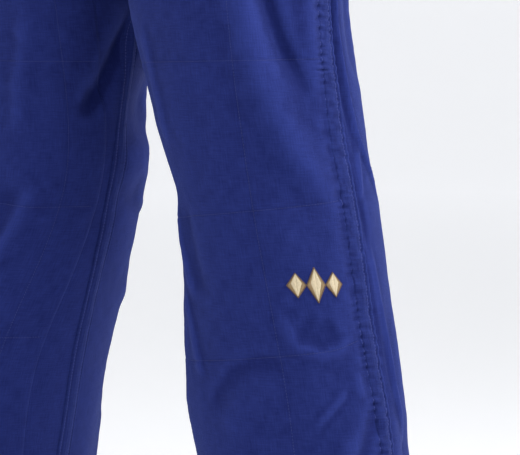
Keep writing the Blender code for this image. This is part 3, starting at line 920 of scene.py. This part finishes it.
def eyelet(name, x):
    """A hand-worked ring of thread, ridged by its stitches."""
    angle = float(waist_front(x, EYELET_Z))
    middle = waist_point(np.array(angle), np.array(EYELET_Z), EYELET_THICK)
    cx, _, half, deep = (float(v) for v in tube(EYELET_Z))
    tilt = math.atan2(deep * math.cos(angle), (half + cx) * -math.sin(angle))
    around, section, stitch = 168, 12, 28
    u, v = np.meshgrid(np.linspace(0, 2 * math.pi, around, endpoint=False),
                       np.linspace(0, 2 * math.pi, section, endpoint=False), indexing="ij")
    thick = EYELET_THICK * (1 + 0.16 * np.abs(np.sin(u * stitch / 2)) + 0.05 * np.sin(u * 5))
    r = EYELET_HOLE + 0.0012 + thick * np.cos(v)
    x_local, y_local = r * np.cos(u), -thick * np.sin(v) * 0.9
    points = np.stack([
        middle[0] + x_local * math.cos(tilt) - y_local * math.sin(tilt),
        middle[1] + x_local * math.sin(tilt) + y_local * math.cos(tilt),
        middle[2] + r * np.sin(u),
    ], axis=-1)
    i, j = np.meshgrid(np.arange(around), np.arange(section), indexing="ij")
    k, m = (i + 1) % around, (j + 1) % section
    faces = np.stack([i * section + j, i * section + m, k * section + m, k * section + j], axis=-1).reshape(-1, 4)
    made = mesh_object(name, points.reshape(-1, 3), faces, None, np.zeros(around * section), SEAM_THREAD)
    return made


def loop_strip(name, x, material):
    """A folded strip that stands off the waistband, tacked at both ends."""
    steps, section = 48, 20
    t = np.linspace(0, 1, steps)
    z = -0.002 - 0.038 * t
    bow = LOOP_BOW * np.sin(math.pi * np.clip(t, 0.001, 0.999)) ** 0.6
    v = np.linspace(0, 2 * math.pi, section, endpoint=False)
    across = np.sign(np.cos(v)) * np.abs(np.cos(v)) ** 0.35 * LOOP_WIDTH / 2
    thick = np.sign(np.sin(v)) * np.abs(np.sin(v)) ** 0.7 * 0.0008
    zz = np.broadcast_to(z[:, None], (steps, section))
    side_x = x + across[None, :] * (1 + 0.03 * np.sin(9 * t)[:, None])
    lift = 0.0013 + bow[:, None] + thick[None, :] - 0.0003 * bell(np.abs(across) - 0.0036, 0.0006)[None, :]
    points = waist_point(waist_front(side_x, zz), zz, lift)
    uv = np.stack([side_x, zz], axis=-1).reshape(-1, 2)
    faces = grid_faces(steps, section, True, closed=True)
    return mesh_object(name, points.reshape(-1, 3), faces, uv, np.zeros(steps * section), material)


def bar_tack(x, z):
    """A dense bar of thread across a loop's end."""
    xs = np.linspace(x - LOOP_WIDTH * 0.42, x + LOOP_WIDTH * 0.42, 14)
    zz = np.full_like(xs, z)
    path = waist_point(waist_front(xs, zz), zz, 0.0027)
    normal = waist_point(waist_front(xs, zz), zz, 0.01) - path
    return stitches(path, normal, SEAM_THREAD, 0.0006, 0.0016, 0.00028)


def build_waistband():
    under = [(WAIST_BOTTOM + 0.0015, -0.0014, 0.3), (WAIST_BOTTOM + 0.0003, -0.0009, 0.8)]
    outside = [(z, 0.0, 1.0) for z in np.linspace(WAIST_BOTTOM, -0.0016, 40)]
    over = [(-0.0007, -0.0005, 0.8), (-0.0001, -0.0016, 0.5), (0.0, -0.0030, 0.3), (-0.0008, -0.0042, 0.2),
            (-0.0030, -0.0046, 0.1), (-0.0060, -0.0047, 0.1)]
    band = waist_ring("waistband_cloth", (under + outside + over)[::-1], BLUE, waist_gathers)
    for x in (-EYELET_X, EYELET_X):
        place = waist_point(waist_front(x, EYELET_Z), np.array(EYELET_Z), 0.001)
        delete_within(band, Vector(place), EYELET_HOLE)
    cloth(["waistband"])
    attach(band, "seat")
    profile = [(z, -0.0031, 1.0) for z in np.linspace(-0.0045, -0.0355, 24)]
    elastic = waist_ring("waist_elastic_band", profile, ELASTIC, elastic_ribs)
    cloth(["waist_elastic"])
    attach(elastic, "seat")
    profile = [(-0.0030, -0.0052, 0.0), (-0.0024, -0.0056, 0.0), (-0.0034, -0.0062, 0.4)]
    profile += [(z, -0.0065, 0.8) for z in np.linspace(-0.0045, WAIST_BOTTOM + 0.001, 36)]
    facing = waist_ring("waistband_facing_cloth", profile, BLUE, facing_gathers)
    cloth(["waistband_facing"])
    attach(facing, "seat")
    rows = []
    angle = np.linspace(-math.pi, math.pi, 2400)
    for level in WAIST_ROWS:
        zz = np.full_like(angle, level)
        path = waist_point(angle, zz, waist_gathers(angle, zz) + 0.00005)
        normal = waist_point(angle, zz, 0.01) - waist_point(angle, zz, 0.0)
        rows.append(stitches(path, normal, SEAM_THREAD, 0.0032, 0.0024, 0.00026))
    threads = join("waistband_thread", rows)
    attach(threads, "seat")
    for word, side in SIDES.items():
        ring = eyelet(word + "_eyelet_ring", side * EYELET_X)
        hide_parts(word + "_eyelet")
        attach(ring, "seat")
        strip = loop_strip(word + "_front_loop_strip", side * LOOP_X, SEAM)
        cloth([word + "_front_loop"])
        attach(strip, "seat")
        tacks = join(word + "_front_loop_tacks", [bar_tack(side * LOOP_X, z) for z in (-0.0042, -0.0382)])
        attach(tacks, "seat")


def build_label():
    """A blank woven label sewn inside the back of the waistband."""
    edges = np.linspace(-LABEL_TURN, LABEL_TURN, 40), np.linspace(LABEL_Z + LABEL_HALF, LABEL_Z - LABEL_HALF, 50)
    angle, z = np.meshgrid(math.pi / 2 + edges[0], edges[1])
    across, down = (angle - math.pi / 2) / LABEL_TURN, (z - LABEL_Z) / LABEL_HALF
    rim = smooth(np.maximum(np.abs(across), np.abs(down)), 1.0, 0.93)
    lift = -0.0071 - 0.0004 * rim - 0.0003 * noise(across * 2, down * 2, 33)
    made = grid_object("size_label_cloth", waist_point(angle, z, lift), angle * 0.12, z, 0, LABEL)
    made.data.flip_normals()
    cloth(["size_label"])
    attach(made, "seat")
    rows = []
    corners = ((-0.9, 0.86), (0.9, 0.86), (0.9, -0.86), (-0.9, -0.86), (-0.9, 0.86))
    for (a0, z0), (a1, z1) in zip(corners, corners[1:]):
        t = np.linspace(0, 1, 60)
        angles = math.pi / 2 + LABEL_TURN * (a0 + (a1 - a0) * t)
        zz = LABEL_Z + LABEL_HALF * (z0 + (z1 - z0) * t)
        normal = waist_point(angles, zz, -0.02) - waist_point(angles, zz, 0.0)
        rows.append(stitches(waist_point(angles, zz, -0.0078), normal, WHITE_THREAD, 0.0028, 0.0020, 0.0002))
    sewn = join("size_label_thread", rows)
    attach(sewn, "seat")


# ---- emblem
EMBLEM_Z, EMBLEM_ANGLE = -0.637, math.radians(-31)
EMBLEM_SIZE, EMBLEM_SIDE_SHARE = (0.053, 0.031), 0.7
FILL_SLOPE, FILL_PITCH, FILL_SHARE, EDGE_PITCH = math.radians(28), 0.0004, 0.60, 0.00036


def emblem_place(u, v, lift):
    """A point of the embroidery, u metres across and v up from its middle."""
    radius = float(tube(EMBLEM_Z)[3])
    u, v = np.asarray(u, float), np.asarray(v, float)
    angle = EMBLEM_ANGLE + u / radius
    return surface_path(1, angle, EMBLEM_Z + v, LAYER + 0.0006 + lift)


def satin(name, starts, ends, rise, material, radius=0.00026):
    """One raised thread from each start to its end, in the emblem's own coordinates."""
    starts, ends = np.asarray(starts, float), np.asarray(ends, float)
    t = np.array([0.0, 0.15, 0.5, 0.85, 1.0])
    arch = np.array([-1.0, 0.5, 1.0, 0.5, -1.0])
    uv = starts[:, None, :] + (ends - starts)[:, None, :] * t[:, None]
    centre, normal = emblem_place(uv[..., 0], uv[..., 1], rise + radius * arch * 0.9)
    ahead = unit(centre[:, -1:] - centre[:, :1])
    return thread_tubes(name, centre, ahead, normal, np.full(5, radius), False, material)


def lozenge_fill(half_w, half_h, rng):
    """Starts and ends of the fill's threads, slanting down from the middle line to both sides."""
    found = []
    for sign in (-1, 1):
        direction = np.array([sign * math.cos(FILL_SLOPE), -math.sin(FILL_SLOPE)])
        for v in np.arange(-half_h + FILL_PITCH, half_h + half_h, FILL_PITCH):
            line = np.linspace(0, 2 * half_w, 200)
            x, y = direction[0] * line, v + direction[1] * line
            inside = np.flatnonzero(np.abs(x) / half_w + np.abs(y) / half_h <= 0.93)
            if len(inside) >= 6:
                ends = np.stack([x[inside[[0, -1]]], y[inside[[0, -1]]]], axis=-1)
                found.append(ends + rng.normal(0, 0.00006, ends.shape))
    return np.array(found)


def lozenge_edge(half_w, half_h, rng):
    """Starts and ends of the short threads across the outline."""
    found = []
    corners = [(0, half_h), (half_w, 0), (0, -half_h), (-half_w, 0)]
    for (x0, y0), (x1, y1) in zip(corners, corners[1:] + corners[:1]):
        long = math.hypot(x1 - x0, y1 - y0)
        out = np.array([y1 - y0, x0 - x1]) / -long
        for s in np.arange(0.0, long, EDGE_PITCH):
            p = np.array([x0 + (x1 - x0) * s / long, y0 + (y1 - y0) * s / long])
            outward = out if np.dot(out, p) > 0 else -out
            reach = 0.0007 * (1 + 0.12 * rng.normal())
            found.append((p - outward * 0.0010, p + outward * reach * 0.4))
    return np.array(found)


def lozenge_pad(middle, half_w, half_h):
    """The padding under the fill, a low dome."""
    n = 24
    u, v = np.meshgrid(np.linspace(-1, 1, n), np.linspace(-1, 1, n))
    x, y = (u - v) / 2, (u + v) / 2
    dome = 0.0004 * (1 - np.maximum(np.abs(u), np.abs(v)) ** 2)
    points, _ = emblem_place(middle + x * half_w, y * half_h, dome)
    return mesh_object("pad", points.reshape(-1, 3), grid_faces(n, n, True), None, np.zeros(n * n), OLD_GOLD)


def build_emblem():
    """Three linked lozenges in satin stitch: gold fill in two directions, a darker gold step and an umber edge."""
    width, height = EMBLEM_SIZE
    half_w = width / 6
    rng = np.random.default_rng(5)
    fills, edges, pads = [], [], []
    for k in (-1, 0, 1):
        middle = k * width / 3
        half_h = height / 2 * (1.0 if k == 0 else EMBLEM_SIDE_SHARE)
        fills.append(lozenge_fill(half_w, half_h, rng) + [middle, 0])
        edges.append(lozenge_edge(half_w, half_h, rng) + [middle, 0])
        pads.append(lozenge_pad(middle, half_w, half_h))
    fills, edges = np.concatenate(fills), np.concatenate(edges)
    start, end = fills[:, 0], fills[:, 1]
    cut = start + (end - start) * FILL_SHARE
    pad = join("emblem_pad", pads)
    fill = satin("emblem_fill", start, cut, 0.0006, GOLD)
    step = satin("emblem_step", cut - (end - start) * 0.05, end, 0.00045, OLD_GOLD)
    edge = satin("emblem_edge", edges[:, 0], edges[:, 1], 0.0005, UMBER, 0.00024)
    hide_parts("emblem")
    for piece in (pad, fill, step, edge):
        with_knee(piece, "left")


for word in SIDES:
    build_leg(word)
build_waistband()
build_label()
build_emblem()


# ---- studio
def stage_bowl():
    """A pale round floor that curves up into a wall all round."""
    flat, bend, floor = 8.5, 3.0, -1.045
    profile = [(r, 0.0) for r in (0.0, 1.0, 2.5, 4.0, 6.0, flat)]
    profile += [(flat + bend * math.sin(t), bend * (1 - math.cos(t))) for t in np.linspace(0.1, math.pi / 2, 24)]
    profile += [(flat + bend, 5.0), (flat + bend, 9.0)]
    around = 96
    turn = np.linspace(0, 2 * math.pi, around, endpoint=False)
    points = np.array([[(r * math.cos(t), r * math.sin(t), floor + h) for t in turn] for r, h in profile])
    faces = grid_faces(len(profile), around, False, closed=True)
    material, tree, shader = new_material("paper", Emission_Strength=0.455, Roughness=0.9)
    colour = colour_between(tree, grains(tree, 60), (0.77, 0.775, 0.79), (0.80, 0.805, 0.82))
    tree.links.new(colour, shader.inputs["Base Color"])
    tree.links.new(colour, shader.inputs["Emission Color"])
    bowl = mesh_object("stage_bowl", points.reshape(-1, 3), faces, None, None, material)


def area_light(name, place, target, size, power):
    data = bpy.data.lights.new(name, "AREA")
    data.shape, data.size, data.size_y, data.energy = "RECTANGLE", size[0], size[1], power
    made = bpy.data.objects.new(name, data)
    bpy.context.scene.collection.objects.link(made)
    made.location = place
    made.rotation_euler = (Vector(target) - Vector(place)).to_track_quat("-Z", "Y").to_euler()
    made.visible_camera = False


def camera(azimuth, elevation, distance, target, shown_width):
    a, e = math.radians(azimuth), math.radians(elevation)
    back = Vector((math.sin(a) * math.cos(e), -math.cos(a) * math.cos(e), math.sin(e)))
    data = bpy.data.cameras.new("camera")
    data.sensor_width = 36
    data.lens = 36 * distance / shown_width
    made = bpy.data.objects.new("camera", data)
    bpy.context.scene.collection.objects.link(made)
    made.location = Vector(target) + back * distance
    made.rotation_euler = (-back).to_track_quat("-Z", "Y").to_euler()
    bpy.context.scene.camera = made


stage_bowl()
world = bpy.data.worlds.new("studio")
world.use_nodes = True
world.node_tree.nodes["Background"].inputs[0].default_value = (0.97, 0.98, 1.0, 1)
world.node_tree.nodes["Background"].inputs[1].default_value = 0.36
bpy.context.scene.world = world
area_light("key_softbox", (1.10, -0.45, 0.62), (0.13, 0, -0.45), (0.45, 0.45), 11.5)
area_light("rim_softbox", (1.10, 0.75, 0.55), (0.15, 0, -0.40), (0.5, 0.8), 22)
area_light("left_softbox", (-1.6, -2.2, 0.8), (0.0, 0, -0.55), (1.4, 2.2), 13)
bpy.context.scene.view_settings.view_transform = "Standard"
# The camera aims a little beside the middle of the left leg.
AZIMUTH, ELEVATION, DISTANCE, SHOWN_WIDTH, ASIDE = 43, 4, 2.4, 0.473, 0.018
LEG_MIDDLE = np.array([0.1685, -0.007])
view_right = np.array([math.cos(math.radians(AZIMUTH)), math.sin(math.radians(AZIMUTH))])
camera(AZIMUTH, ELEVATION, DISTANCE, (*(LEG_MIDDLE - ASIDE * view_right), -0.593), SHOWN_WIDTH)
